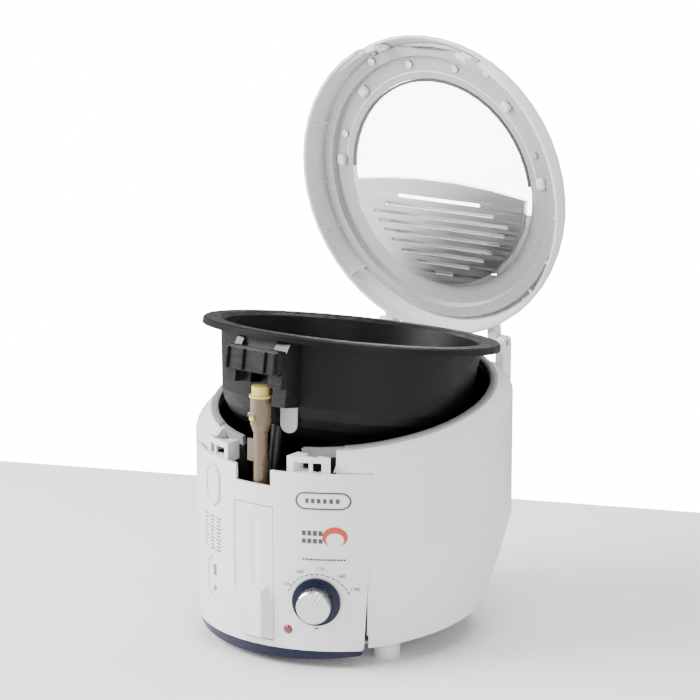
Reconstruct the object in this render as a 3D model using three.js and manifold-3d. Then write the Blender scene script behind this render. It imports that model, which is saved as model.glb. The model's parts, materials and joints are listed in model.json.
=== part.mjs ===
// Deep fryer with an inclined bowl, a front oil drain and a hinged lid with a window.
// Millimetres, +Z up, front faces -Y. The lid stands open and the bowl is lifted at its front.
import * as THREE from 'three';
import { mergeVertices } from 'three/addons/utils/BufferGeometryUtils.js';
import Module from 'manifold-3d';

const wasm = await Module();
wasm.setup();

// ---------------------------------------------------------------- driving dimensions
const rad = THREE.MathUtils.degToRad;
const gap = 0.4;                  // clearance between fixed pieces that meet
const slack = 0.8;                // clearance round moving pieces
const bodyR = 136;                // outer radius of the casing
const wall = 2.6;                 // thickness of the moulded casing walls
const footingR = 121;             // casing radius at its lower edge
const footingShift = -14;         // how far the lower edge sits towards the front
const taperTop = 100;             // height where the casing starts to taper inwards
const casingLow = 15;             // lower edge of the front panel
const rimSlope = 10.5;            // tilt of the rim, front low, degrees
const rimHeight = 201;            // height of the rim's centre
const shoulderDrop = 12;          // depth of the sloped shoulder round the rim
const ringOuter = 121;            // rim ring, outer radius
const ringWall = 3.6;             // rim ring, width
const ringHigh = 2;               // rim ring, top above the rim plane
const ringTall = 8;               // rim ring, height

const partingHeight = 51;         // where the upper casing meets the skirt, at the centre
const partingSlope = 0.245;       // rise of that seam towards the rear
const skirtLow = 25;              // lower edge of the skirt, at the centre
const skirtSlope = 0.105;         // rise of that edge towards the rear
const skirtStep = 1.4;            // how far the skirt sits inside the upper casing
const inletWide = 48;             // power inlet, width
const inletTall = 28;             // power inlet, height
const inletLow = 44;              // power inlet, underside

const panelArcY = -20;            // centre of the front panel's bow
const panelArcR = 122.2;          // outer radius of the front panel's bow
const panelHalf = 91.5;           // half width of the front panel at its top
const panelLean = 0.04;           // how fast the panel narrows downwards
const panelTop = 166.6;           // top edge of the front panel
const notchHalf = 18;             // notch in the panel's top edge, half width
const notchLow = 153;             // bottom of that notch

const doorHalf = 19.6;            // drain door, half width
const doorLow = 21;               // drain door, lower edge
const doorHigh = 135;             // drain door, upper edge

const keeperIn = 31;              // latch keepers, inner side
const keeperOut = 64;             // latch keepers, outer side
const keeperBack = -119.6;        // latch keepers, rear face
const keeperLow = 164;            // latch keepers, underside
const keeperTop = 180;            // latch keepers, top
const channelFront = -126;        // front of the channel that a lid hook comes down
const hookWide = 10;              // lid hooks, width

const bowlTopR = 112;             // bowl wall, outer radius at the rim
const bowlTaper = 7;              // bowl wall taper, degrees
const bowlWall = 1.8;             // bowl sheet thickness
const bowlDeep = 84;              // bowl depth from its rim
const bowlCorner = 34;            // outer radius of the bowl's bottom corner
const bowlSeat = 4;               // underside of the bowl's rim above the rim plane
const rimLipR = 127.5;            // outer radius of the bowl's rolled rim
const rimLipTall = 5;             // height of the rolled rim
const liftPivotY = 138;           // point that the bowl tips about, behind its centre
const liftPivotZ = 12;            // and its height from the rim plane
const liftAngle = 20;             // how far the bowl is tipped here, degrees

const bracketHalf = 27.5;         // bowl bracket, half width
const bracketFront = -130;        // bowl bracket, front face from the bowl's axis
const bracketHigh = bowlSeat - 17;  // bowl bracket, top at its front face
const bracketLow = bowlSeat - 39;   // bowl bracket, underside
const recessLeft = -20;           // finger recess in the bracket, left side
const recessRight = 13.5;         // finger recess in the bracket, right side
const tongueX = 19;               // hanging plate under the bracket, distance from the centre line
const tongueHalf = 7.5;           // hanging plate, half width
const tongueTop = bracketLow - 16;  // hanging plate, top
const spoutY = 20 - bowlTopR;     // the bowl's outlet, from its axis
const tubeR = 6;                  // drain tube, outer radius
const tubeWall = 1.5;             // drain tube, wall
const capTravel = 9;              // how far the drain cap pulls out
const funnelR = 8.8;              // drain tube, outer radius at its mouth
const tubeTopY = -119;            // drain tube mouth, from the bowl's axis
const tubeTopZ = bowlSeat - 50;     // drain tube mouth, from the rim plane
const tubeLean = 8.5;             // tilt of the drain tube to the bowl's axis, degrees
const tubeLong = 80;              // drain tube length

const hingeY = bodyR - 2;         // lid hinge axis, behind the casing's centre
const hingeZ = rimHeight + 28;    // lid hinge axis, height
const lidOpen = 92.5;             // angle that the lid has opened, degrees
const hingePinR = 2.5;            // hinge pins
const knuckleIn = 51;             // lid knuckles, inner side
const knuckleWide = 8.4;          // lid knuckles, width
const towerWide = 8.4;            // hinge towers, width
const knuckleR = 6.4;             // round end of knuckles and towers
const lidR = 135;                 // outer radius of the lid
const lidTall = 34;               // height of the lid
const lidWall = 2.6;              // thickness of the lid's shell
const lidRise = -5.5;             // lid's lower edge from the rim plane
const windowR = 98;               // lid window, radius
const windowUp = 22;              // lid window, height above the lid's lower edge
const windowMid = 2;              // lid window's centre, towards the hinge
const ringSeatR = 124;            // inner frame of the lid, outer radius
const ringSeatLow = 16.8;         // inner frame of the lid, underside
const plateEdge = -4;             // splash plate's front edge, towards the hinge
const plateSlots = 9;             // steam slots in the splash plate
const slotPitch = 8.4;            // spacing of the slots
const slotWide = 3.2;             // width of a slot
const coverLow = 44.6;            // filter cover, front edge
const coverHigh = 83.4;           // filter cover, rear edge
const coverHalf = 45.4;           // filter cover, half width
const earSpots = [[-60.5, -104.5], [60.5, -104.5]];             // screw ears at the lid's front
const screwSpots = [...earSpots, [-24, -104], [24, -104], [100, -34], [-100, -34]];

const knobX = 56;                 // temperature knob, distance from the centre line
const knobZ = 58;                 // temperature knob, height
const knobR = 20.5;               // temperature knob, skirt radius
const knobCapR = 14.2;            // temperature knob, grip radius
const lampX = 33;                 // pilot lamp, distance from the centre line
const lampZ = 32;                 // pilot lamp, height
const lampR = 3.5;                // pilot lamp, radius
const buttonX = -50;              // lid button, distance from the centre line
const buttonZ = 142;              // lid button, height
const timerZ = 60;                // timer seat, height
const ovalWide = 23;              // lid button and timer seat, width
const ovalTall = 36;              // lid button and timer seat, height

const footSpots = {               // foot name: x, y, radius
  front_right: [84, -68, 11],
  front_left: [-84, -68, 11],
  rear_right: [74, 62, 8],
  rear_left: [-74, 62, 8],
};
const round = 48;                 // facets of the large round pieces
const small = 14;                 // facets of the small round pieces

// ---------------------------------------------------------------- solids
function solid(geometry) {
  let shape = geometry.clone();
  shape.deleteAttribute('normal');
  shape.deleteAttribute('uv');
  shape = mergeVertices(shape, 1e-4);
  return new wasm.Manifold(new wasm.Mesh({
    numProp: 3,
    vertProperties: new Float32Array(shape.attributes.position.array),
    triVerts: new Uint32Array(shape.index.array),
  }));
}

function geometryOf(body) {
  const mesh = body.getMesh();
  const geometry = new THREE.BufferGeometry();
  geometry.setAttribute('position', new THREE.BufferAttribute(mesh.vertProperties, 3));
  geometry.setIndex(new THREE.BufferAttribute(mesh.triVerts, 1));
  geometry.computeVertexNormals();
  return geometry;
}

function box(x0, x1, y0, y1, z0, z1) {
  const geometry = new THREE.BoxGeometry(x1 - x0, y1 - y0, z1 - z0);
  geometry.translate((x0 + x1) / 2, (y0 + y1) / 2, (z0 + z1) / 2);
  return solid(geometry);
}

// A turned solid about +Z from [radius, height] points that start and end on the axis.
function turnedGeometry(points, facets = round) {
  const profile = points.map(([r, z]) => new THREE.Vector2(r, z));
  const geometry = new THREE.LatheGeometry(profile, facets);
  geometry.rotateX(Math.PI / 2);
  return geometry;
}

function turned(points, facets = round) {
  const area = points.reduce((sum, [r, z], i) => {
    const [nextR, nextZ] = points[(i + 1) % points.length];
    return sum + (r * nextZ - nextR * z);
  }, 0);
  return solid(turnedGeometry(area > 0 ? points : [...points].reverse(), facets));
}

function disc(r, z0, z1, facets = round) {
  return turned([[0, z0], [r, z0], [r, z1], [0, z1]], facets);
}

function tube(outer, inner, z0, z1, facets = round) {
  return disc(outer, z0, z1, facets).subtract(disc(inner, z0 - 1, z1 + 1, facets));
}

// A flat outline in the XY plane, raised from z0 to z1.
function slab(shape, z0, z1) {
  const settings = { depth: z1 - z0, bevelEnabled: false, curveSegments: 5 };
  const geometry = new THREE.ExtrudeGeometry(shape, settings);
  geometry.translate(0, 0, z0);
  return solid(geometry);
}

function roundedShape(width, height, corner) {
  const shape = new THREE.Shape();
  const x = width / 2;
  const y = height / 2;
  shape.moveTo(-x + corner, -y);
  shape.lineTo(x - corner, -y);
  shape.absarc(x - corner, -y + corner, corner, -Math.PI / 2, 0, false);
  shape.lineTo(x, y - corner);
  shape.absarc(x - corner, y - corner, corner, 0, Math.PI / 2, false);
  shape.lineTo(-x + corner, y);
  shape.absarc(-x + corner, y - corner, corner, Math.PI / 2, Math.PI, false);
  shape.lineTo(-x, -y + corner);
  shape.absarc(-x + corner, -y + corner, corner, Math.PI, 1.5 * Math.PI, false);
  return shape;
}

// An outline in the YZ plane, from x0 to x1.
function sideSlab(points, x0, x1) {
  const shape = new THREE.Shape(points.map(([y, z]) => new THREE.Vector2(y, z)));
  const geometry = new THREE.ExtrudeGeometry(shape, { depth: x1 - x0, bevelEnabled: false });
  geometry.applyMatrix4(new THREE.Matrix4().makeBasis(
    new THREE.Vector3(0, 1, 0), new THREE.Vector3(0, 0, 1), new THREE.Vector3(1, 0, 0)));
  geometry.translate(x0, 0, 0);
  return solid(geometry);
}

function placed(body, matrix) {
  return body.transform(matrix.elements);
}

function moved(body, x, y, z) {
  return placed(body, new THREE.Matrix4().makeTranslation(x, y, z));
}

// Turns +Z to the front.
const layForward = new THREE.Matrix4().makeRotationX(Math.PI / 2);

// From the rim frame (origin at the rim's centre, +Z square to the rim) to the casing's frame.
const rimFrame = new THREE.Matrix4().makeRotationX(rad(rimSlope)).setPosition(0, 0, rimHeight);

function atRim(body) {
  return placed(body, rimFrame);
}

// A frame on the bowed front panel: +Z outwards, +Y up, at a distance from the centre line.
function panelFrame(x, z, depth = 0) {
  const turn = Math.asin(x / panelArcR);
  const reach = panelArcR + depth;
  const outward = new THREE.Vector3(Math.sin(turn), -Math.cos(turn), 0);
  const up = new THREE.Vector3(0, 0, 1);
  const across = new THREE.Vector3().crossVectors(up, outward);
  return new THREE.Matrix4().makeBasis(across, up, outward)
    .setPosition(reach * outward.x, panelArcY + reach * outward.y, z);
}

const everything = new THREE.Group();

function add(parent, name, body, colour, roughness = 0.45, metalness = 0) {
  const material = new THREE.MeshStandardMaterial({ color: colour, roughness, metalness });
  const mesh = new THREE.Mesh(geometryOf(body), material);
  mesh.name = name;
  parent.add(mesh);
}

const white = 0xe9e9e9;
const grey = 0x8f9194;
const black = 0x17171a;
const navy = 0x121a38;
const metal = 0xb5b7ba;
const steel = 0xc9cbce;
const brass = 0xb08d4a;

// ---------------------------------------------------------------- casing
// The casing's outline: a cylinder that tapers below, its lower edge moved to the front.
function casingSolid(inset, low, high) {
  const lowR = footingR + (bodyR - footingR) * (low - casingLow) / (taperTop - casingLow);
  const geometry = turnedGeometry([
    [0, low], [lowR - inset, low], [bodyR - inset, taperTop], [bodyR - inset, high], [0, high]]);
  const places = geometry.attributes.position;
  for (let i = 0; i < places.count; i += 1) {
    const below = Math.max(0, taperTop - places.getZ(i)) / (taperTop - casingLow);
    places.setY(i, places.getY(i) + footingShift * below);
  }
  return solid(geometry);
}

// Rear surface of the casing at a height.
function casingRear(z) {
  const below = Math.max(0, taperTop - z) / (taperTop - casingLow);
  return bodyR - (bodyR - footingR - footingShift) * below;
}

// Everything under the sloped shoulder that leads up to the rim.
function underShoulder(inset) {
  const edge = ringOuter + 3;
  return atRim(turned([
    [0, -300], [230, -300], [230, -60], [edge + 60 - inset, -60 + 1],
    [edge + shoulderDrop * 1.2 - inset, 1 - shoulderDrop * 1.2 - inset],
    [edge - inset, 1 - inset], [0, 1 - inset]]));
}

// A wedge of space in front of the panel's seams, which lean inwards downwards.
function betweenSeams(extra, low, high) {
  const half = (z) => panelHalf + extra - (panelTop - z) * panelLean;
  const shape = new THREE.Shape([
    new THREE.Vector2(-half(low), low), new THREE.Vector2(half(low), low),
    new THREE.Vector2(half(high), high), new THREE.Vector2(-half(high), high)]);
  const geometry = new THREE.ExtrudeGeometry(shape, { depth: 120, bevelEnabled: false });
  geometry.rotateX(Math.PI / 2);
  geometry.translate(0, -62, 0);
  return solid(geometry);
}

// Space above a plane that rises towards the rear.
function abovePlane(heightAtCentre, slope) {
  const reach = 300;
  return sideSlab([[-reach, heightAtCentre - reach * slope], [reach, heightAtCentre + reach * slope],
    [reach, 2 * reach], [-reach, 2 * reach]], -reach, reach);
}

const mouth = atRim(disc(ringOuter + gap, -30, 40));

function outerShell() {
  const outer = casingSolid(0, casingLow, 300).intersect(underShoulder(0));
  const inner = casingSolid(wall, casingLow - 2, 300).intersect(underShoulder(wall * 1.2));
  return outer.subtract(inner).subtract(mouth)
    .intersect(abovePlane(partingHeight, partingSlope))
    .subtract(betweenSeams(gap, -20, panelTop + gap))
    .subtract(box(-keeperOut - gap, keeperOut + gap, -200, -60, keeperLow - 10, 260));
}

function lowerSkirt() {
  const outer = casingSolid(skirtStep, casingLow, 120);
  const inner = casingSolid(skirtStep + wall, casingLow - 2, 122);
  const half = inletWide / 2 + gap;
  const inletRoom = box(-half, half, 80, 140, inletLow - gap, inletLow + inletTall + gap);
  return outer.subtract(inner)
    .subtract(abovePlane(partingHeight - gap, partingSlope))
    .intersect(abovePlane(skirtLow, skirtSlope))
    .subtract(betweenSeams(gap, -20, panelTop))
    .subtract(inletRoom);
}

function panelSolid(inset, low, high) {
  return moved(disc(panelArcR - inset, low, high), 0, panelArcY, 0);
}

function ovalAt(x, z, grow, from, to) {
  const shape = roundedShape(ovalWide + 2 * grow, ovalTall + 2 * grow, ovalWide / 2 + grow - 0.01);
  return placed(slab(shape, from, to), panelFrame(x, z));
}

function frontPanel() {
  const doorRoom = box(-doorHalf - slack, doorHalf + slack, -200, -100, doorLow - slack, doorHigh + slack);
  return panelSolid(0, casingLow, panelTop)
    .subtract(panelSolid(wall, casingLow - 1, panelTop + 1))
    .intersect(betweenSeams(0, casingLow, panelTop))
    .subtract(box(-notchHalf, notchHalf, -200, -100, notchLow, 200))
    .subtract(doorRoom)
    .subtract(ovalAt(buttonX, buttonZ, slack / 2, -20, 20))
    .subtract(ovalAt(buttonX, timerZ, gap, -20, 20))
    .subtract(placed(disc(4.6, -20, 20, small), panelFrame(knobX, knobZ)))
    .subtract(placed(disc(lampR + gap, -20, 20, small), panelFrame(lampX, lampZ)));
}

function baseTrim() {
  const wedge = abovePlane(24.3, 0.13);
  return panelSolid(1.2, 2, casingLow - gap)
    .subtract(panelSolid(1.2 + wall, 0, casingLow))
    .intersect(betweenSeams(-1.2, 0, casingLow - gap))
    .intersect(wedge);
}

function basePlate() {
  const floor = casingSolid(wall + skirtStep + gap, casingLow, 60)
    .intersect(abovePlane(skirtLow + 3, skirtSlope))
    .subtract(abovePlane(skirtLow + 5.6, skirtSlope))
    .intersect(panelSolid(wall + 1.2 + gap, 0, 90).add(box(-150, 150, -100, 150, 0, 90)));
  let plate = floor;
  Object.values(footSpots).forEach(([x, y, r]) => {
    plate = plate.subtract(moved(disc(r - 4, -1, 80, small), x, y, 0));
  });
  return plate;
}

function foot(name) {
  const [x, y, r] = footSpots[name];
  const floorZ = skirtLow + 3 + skirtSlope * y;
  const pad = disc(r, 0, floorZ - 2.6, small).add(disc(r - 4.4, 1, floorZ + 6, small));
  return moved(pad, x, y, 0);
}

// Upright box behind the panel with a window for the lid's hook.
function latchKeeper(side) {
  const lower = keeperLow;
  const inside = panelSolid(wall + gap, lower, keeperTop)
    .intersect(atRim(disc(200, -200, 4)).add(box(-200, 200, -200, 200, 0, keeperTop)));
  const block = box(keeperIn, keeperOut, -145, keeperBack, lower, keeperTop).intersect(inside);
  const middle = (keeperIn + keeperOut) / 2;
  const windows = box(keeperIn + 5, keeperOut - 6, -160, -100, lower + 3, keeperTop - 5);
  const rib = box(middle + 1, middle + 4, -160, -127, lower, keeperTop);
  const half = hookWide / 2 + 1;
  const channel = box(middle - half, middle + half, channelFront, -100, lower + 2, 260);
  const keeper = block.subtract(windows).add(rib.intersect(block)).subtract(channel);
  return side > 0 ? keeper : keeper.mirror([1, 0, 0]);
}

function rimRing() {
  const ring = atRim(tube(ringOuter, ringOuter - ringWall, ringHigh - ringTall, ringHigh));
  return ring.subtract(box(-keeperIn, keeperIn, -200, -60, 100, 260));
}

// Steel cup that holds the heater and the bowl, open at the front for the drain tube.
const linerHigh = ringHigh - ringTall - gap;
const linerLow = -128;
const linerTopR = ringOuter - 0.6;
const linerLowR = 110;

function innerLiner() {
  const sheet = 1.4;
  const cup = turned([[0, linerLow], [linerLowR - 10, linerLow], [linerLowR, linerLow + 10],
    [linerTopR, linerHigh], [0, linerHigh]]);
  const hollow = turned([[0, linerLow + sheet], [linerLowR - 10, linerLow + sheet],
    [linerLowR - sheet, linerLow + 10], [linerTopR - sheet, linerHigh], [linerTopR - sheet, 5], [0, 5]]);
  return atRim(cup.subtract(hollow)
    .subtract(box(-keeperIn, keeperIn, -200, -84, -200, 50))
    .subtract(disc(7, linerLow - 5, linerLow + 5, small)));
}

const bowlBottom = bowlSeat - bowlDeep;
const heaterTop = bowlBottom - 0.8;

function heaterPlate() {
  return atRim(disc(86, heaterTop - 4, heaterTop)
    .subtract(box(-11, 11, -200, -44, -200, 0))
    .subtract(disc(9, -200, 0, small)));
}

// Ring element under the plate, open at the front.
function heatingElement() {
  const middle = heaterTop - 4 - gap - 4.2;
  const arc = new THREE.EllipseCurve(0, 0, 66, 66, rad(-68), rad(248), false, 0);
  const points = arc.getPoints(40).map((p) => new THREE.Vector3(p.x, p.y, middle));
  const path = new THREE.CatmullRomCurve3(points);
  const section = new THREE.Shape().absarc(0, 0, 4, 0, Math.PI * 2, false);
  const geometry = new THREE.ExtrudeGeometry(section, { steps: 36, extrudePath: path, curveSegments: 3 });
  return atRim(solid(geometry));
}

function driveMotor() {
  const high = linerLow - 6;
  const body = disc(24, high - 26, high, 36).add(disc(11, high - 1, high + 3, small));
  return atRim(body.subtract(disc(3.6, high - 30, high + 10, small)));
}

function driveSpindle() {
  const bottom = linerLow - 20;
  const shaft = disc(3, bottom, heaterTop - 3, small);
  return shaft.add(disc(6.5, heaterTop - 8, heaterTop - 1.5, small))
    .add(box(-5, 5, -1.6, 1.6, heaterTop - 2, heaterTop));
}

function thermostatBody() {
  const frame = panelFrame(knobX, knobZ, -wall);
  return placed(slab(roundedShape(34, 34, 3), -24, -3).add(disc(5.6, -4, -1.2, small))
    .subtract(disc(3.4, -30, 5, small)), frame);
}

function safetyCutout() {
  const low = heaterTop - 4 - gap;
  return atRim(moved(disc(8, low - 9, low, small).add(box(-3, 3, -12, 12, low - 12, low - 8)), 0, 30, 0));
}

// A cylinder about the lid hinge's axis, from x0 to x1.
function hingeCylinder(r, x0, x1) {
  const cylinder = placed(disc(r, x0, x1, small), new THREE.Matrix4().makeRotationY(Math.PI / 2));
  return moved(cylinder, 0, hingeY, hingeZ);
}

// Bracket on the casing's rear with a tower at each side of the lid's knuckles.
function hingeBlock() {
  const outside = casingSolid(-gap, casingLow, 300).intersect(underShoulder(-gap));
  const half = knuckleIn + knuckleWide + gap + towerWide;
  const bridge = sideSlab([[100, 150], [137, 165], [138, 200], [hingeY + knuckleR, 208],
    [hingeY - knuckleR, 208], [100, 206]], -half + 8, half - 8);
  let block = bridge.subtract(outside);
  [1, -1].forEach((side) => {
    const outer = side * half;
    const inner = side * (half - towerWide);
    const arm = side * (half - 16);
    const [low, high] = [Math.min(inner, outer), Math.max(inner, outer)];
    const post = box(low, high, hingeY - knuckleR, hingeY + knuckleR, 196, hingeZ);
    const ledge = box(Math.min(arm, outer), Math.max(arm, outer), 100, hingeY + knuckleR, 190, 206);
    block = block.add(post.subtract(outside)).add(ledge.subtract(outside));
    block = block.add(hingeCylinder(knuckleR, low, high));
  });
  return block.subtract(hingeCylinder(hingePinR + 0.3, -100, 100));
}

function hingePin(side) {
  const inner = side * (knuckleIn + 0.5);
  const outer = side * (knuckleIn + knuckleWide + gap + towerWide - 0.5);
  return hingeCylinder(hingePinR, Math.min(inner, outer), Math.max(inner, outer));
}

function powerInlet() {
  const x = inletWide / 2;
  const high = inletLow + inletTall;
  const y = casingRear(inletLow + inletTall / 2) - 25.67;
  const middle = inletLow + inletTall / 2;
  const inlet = box(-x, x, y, y + 16, inletLow, high);
  return inlet.subtract(box(-x + 4, x - 4, y + 8, y + 34, inletLow + 4, high - 4))
    .add(box(-9, -6, y + 4, y + 13, middle - 3, middle + 3))
    .add(box(6, 9, y + 4, y + 13, middle - 3, middle + 3))
    .subtract(casingSolid(-30, 5, 300).subtract(casingSolid(-0.4, 5, 300)));
}

function lampLens() {
  const lens = turned([[0, -4], [lampR, -4], [lampR, 0.4], [lampR * 0.7, 1.4], [0, 1.8]], small);
  return placed(lens, panelFrame(lampX, lampZ));
}

function timerSeat() {
  const shape = roundedShape(ovalWide, ovalTall, ovalWide / 2 - 0.01);
  const seat = placed(slab(shape, -4, -1), panelFrame(buttonX, timerZ));
  const socket = placed(slab(roundedShape(6, 10, 1), -20, 20), panelFrame(buttonX, timerZ + 6));
  const hole = placed(disc(3, -20, 20, small), panelFrame(buttonX, timerZ - 10));
  return seat.subtract(socket).subtract(hole);
}

// ---------------------------------------------------------------- controls and door
function knobSkirt() {
  const skirt = turned([[0, 1.2], [knobR, 1.2], [knobR - 0.6, 3.4], [knobCapR + 1, 4.4], [0, 4.4]], 48);
  return skirt.subtract(disc(3.1, -1, 10, small));
}

function knobCap() {
  return turned([[0, 4.8], [knobCapR, 4.8], [knobCapR, 17], [knobCapR - 1.2, 18.4], [0, 18.4]], 48)
    .subtract(box(-1.6, 1.6, 2, knobCapR + 1, 16.6, 20)).subtract(disc(3.1, 0, 12, small));
}

function knobPointer() {
  return box(-1.2, 1.2, 2.4, knobCapR - 0.6, 17, 18.9);
}

function knobShaft() {
  return disc(2.8, -20, 11.6, small);
}

function lidButton() {
  const crown = slab(roundedShape(ovalWide, ovalTall, ovalWide / 2 - 0.01), -4, 1.2);
  return crown.subtract(slab(roundedShape(ovalWide - 5, ovalTall - 5, ovalWide / 2 - 2.6), 0.4, 3))
    .add(disc(4, -9, -3, small));
}

function buttonSpring() {
  return tube(6.2, 5, -10.2, -4.4, small);
}

function buttonCarrier() {
  return slab(roundedShape(ovalWide + 6, ovalTall + 6, 8), -16.4, -14)
    .add(tube(9.2, 7.4, -14.5, -10, small)).subtract(disc(4.6, -30, 0, small));
}

function drainDoor() {
  const skin = panelSolid(0.2, doorLow, doorHigh).subtract(panelSolid(wall, doorLow - 1, doorHigh + 1));
  const channel = moved(disc(9, 60, doorHigh - 10, small), 2, -panelArcR + panelArcY - 7.6, 0);
  const pocket = sideSlab([[-150, 24], [-150, 62], [-139, 68], [-139, 23]], -14, 14)
    .subtract(panelSolid(1, 0, 100));
  return skin.intersect(box(-doorHalf, doorHalf, -200, -100, doorLow, doorHigh))
    .subtract(channel).add(pocket.intersect(box(-14, 14, -149.5, -100, 0, 100)));
}

// ---------------------------------------------------------------- bowl and drain
function wallRadius(z) {
  return bowlTopR - (bowlSeat - z) * Math.tan(rad(bowlTaper));
}

// Profile of the bowl from its floor to its rim, inset from the outer face.
function bowlProfile(inset) {
  const bottom = bowlBottom + inset;
  const corner = bowlCorner - inset;
  const side = wallRadius(bowlBottom + bowlCorner) - inset;
  const points = [[0, bottom]];
  for (let i = 0; i <= 5; i += 1) {
    const turn = rad(-90 + i * (90 - bowlTaper) / 5);
    points.push([side - corner + corner * Math.cos(turn), bottom + corner + corner * Math.sin(turn)]);
  }
  return points;
}

function bowlBody() {
  const rimTop = bowlSeat + rimLipTall;
  const outer = turned([...bowlProfile(0), [bowlTopR, bowlSeat + 1.5], [rimLipR - 2, bowlSeat + 1.5],
    [rimLipR - 2, bowlSeat - 1], [rimLipR, bowlSeat - 1], [rimLipR, rimTop - 1.5],
    [rimLipR - 1.5, rimTop], [0, rimTop]]);
  const inner = turned([...bowlProfile(bowlWall), [bowlTopR - bowlWall, bowlSeat + 2],
    [bowlTopR + 1, rimTop - 0.4], [bowlTopR + 1, rimTop + 5], [0, rimTop + 5]]);
  const drain = moved(disc(4, bowlBottom - 5, bowlBottom + 30, small), 0, spoutY, 0);
  const socket = disc(5, bowlBottom + 4, bowlBottom + 20, small);
  const hub = disc(11, bowlBottom, bowlBottom + 12, small).subtract(socket);
  return outer.subtract(inner).subtract(drain).add(hub);
}

function bowlBracket() {
  const back = wallRadius(bracketLow) - 6;
  const body = sideSlab([[-back + 14, bowlSeat], [-rimLipR + 6, bowlSeat - 1], [bracketFront, bracketHigh],
    [bracketFront, bracketLow], [-back + 14, bracketLow]], -bracketHalf, bracketHalf);
  const bowlSpace = turned([[0, -80], [wallRadius(-80) + gap, -80], [bowlTopR + gap, bowlSeat],
    [bowlTopR + gap, bowlSeat + 0.7], [0, bowlSeat + 0.7]]);
  const rimSpace = tube(rimLipR + 1, bowlTopR, bowlSeat - 1.4, bowlSeat + 20);
  const recess = box(recessLeft, recessRight, bracketFront - 1, -121, -80, bowlSeat + 20);
  const capRoom = box(-11, 11, bracketFront - 1, -90, -80, tubeTopZ + 10 + capTravel + 2);
  const foot = box(recessRight, bracketHalf, -122, -back + 14, tongueTop, bracketLow + 1);
  return body.add(foot).subtract(bowlSpace).subtract(rimSpace).subtract(recess).subtract(capRoom);
}

// Rounded plate that hangs under the bracket, close to the bowl's wall.
function bracketPlate() {
  const high = tongueTop - gap;
  const low = high - 22;
  const wallAt = (z, extra) => [wallRadius(z) + extra, z];
  const band = turned([[0, low], wallAt(low, gap + 1.6), wallAt(high, gap + 1.6), [0, high]]);
  const space = turned([[0, low - 1], wallAt(low - 1, gap), wallAt(high + 1, gap), [0, high + 1]]);
  const outline = new THREE.Shape();
  outline.moveTo(tongueX - tongueHalf, high + 1);
  outline.lineTo(tongueX - tongueHalf, low + tongueHalf);
  outline.absarc(tongueX, low + tongueHalf, tongueHalf, Math.PI, 2 * Math.PI, false);
  outline.lineTo(tongueX + tongueHalf, high + 1);
  const settings = { depth: 60, bevelEnabled: false, curveSegments: 12 };
  const tongue = new THREE.ExtrudeGeometry(outline, settings);
  tongue.rotateX(Math.PI / 2);
  tongue.translate(0, -80, 0);
  return band.subtract(space).intersect(solid(tongue));
}

// Frame of the drain tube: its mouth at the origin, its axis along -Z.
const tubeFrame = new THREE.Matrix4().makeRotationX(rad(tubeLean))
  .setPosition(0, tubeTopY, tubeTopZ);

function drainTube() {
  const profile = [[0, -tubeLong], [tubeR, -tubeLong], [tubeR, -30], [funnelR, -22], [funnelR, 0],
    [0, 0]];
  const inside = [[0, -tubeLong - 1], [tubeR - tubeWall, -tubeLong - 1], [tubeR - tubeWall, -30],
    [funnelR - tubeWall, -22], [funnelR - tubeWall, 1], [0, 1]];
  const tab = box(-13, -tubeR + 0.6, -1.2, 1.2, -55, -36);
  const boss = placed(disc(2.6, funnelR - 1.2, funnelR + 3, small),
    new THREE.Matrix4().makeRotationY(-Math.PI / 2));
  return turned(profile, 32).add(tab).add(moved(boss, 0, 0, -16)).subtract(turned(inside, 32));
}

function tubePeg() {
  const peg = placed(disc(2, funnelR + 0.4, funnelR + 3, small), layForward);
  return moved(peg, -1, 0, -16);
}

function drainCap() {
  const cap = disc(funnelR + 0.8, gap, 2.4, 32).add(disc(funnelR - 1.2, 2, 10, 32));
  const plug = disc(funnelR - tubeWall - gap, -7, 1, 32);
  return cap.add(plug);
}

// Pipe from the bowl's outlet down and forward to the lower end of the drain tube.
function drainElbow() {
  const bottomEnd = new THREE.Vector3(0, 0, -tubeLong - gap).applyMatrix4(tubeFrame);
  const level = bottomEnd.z - 7;
  const bowlSpace = turned([...bowlProfile(-gap), [bowlTopR + gap, bowlSeat], [0, bowlSeat]]);
  const pipe = placed(disc(5.4, -spoutY - 2, -bottomEnd.y + 2, small), layForward);
  const riser = moved(disc(5.4, level - 4, bowlBottom + 20, small), 0, spoutY, 0);
  const socket = placed(disc(tubeR + 0.6, -tubeLong - 12, -tubeLong - gap, small), tubeFrame);
  const bore = moved(disc(3.4, level, bowlBottom + 30, small), 0, spoutY, 0);
  const across = placed(disc(3.4, -spoutY, -bottomEnd.y, small), layForward);
  const mouthBore = placed(disc(3.4, -tubeLong - 8, -tubeLong + 5, small), tubeFrame);
  return moved(pipe, 0, 0, level).add(riser.subtract(bowlSpace)).add(socket)
    .subtract(bore).subtract(moved(across, 0, 0, level)).subtract(mouthBore);
}

// ---------------------------------------------------------------- lid
// The lid's own frame: closed, its lower edge lies in the XY plane and its hinge is at the rear.
const lidFrameClosed = rimFrame.clone().multiply(new THREE.Matrix4().makeTranslation(0, 0, lidRise));
const hingeInLid = new THREE.Vector3(0, hingeY, hingeZ).applyMatrix4(lidFrameClosed.clone().invert());

function lidOutline(inset) {
  const r = lidR - inset;
  const high = lidTall - inset;
  return [[0, 0], [r, 0], [r, 8], [r - 1.2, 13], [r - 3.5, 18.5], [r - 7.5, 24 - inset / 3],
    [r - 15, 29 - inset / 2], [r - 27, high - 1.5], [r - 40, high], [0, high]];
}

function hingeInLidCylinder(r, x0, x1) {
  const cylinder = placed(disc(r, x0, x1, small), new THREE.Matrix4().makeRotationY(Math.PI / 2));
  return moved(cylinder, 0, hingeInLid.y, hingeInLid.z);
}

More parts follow.
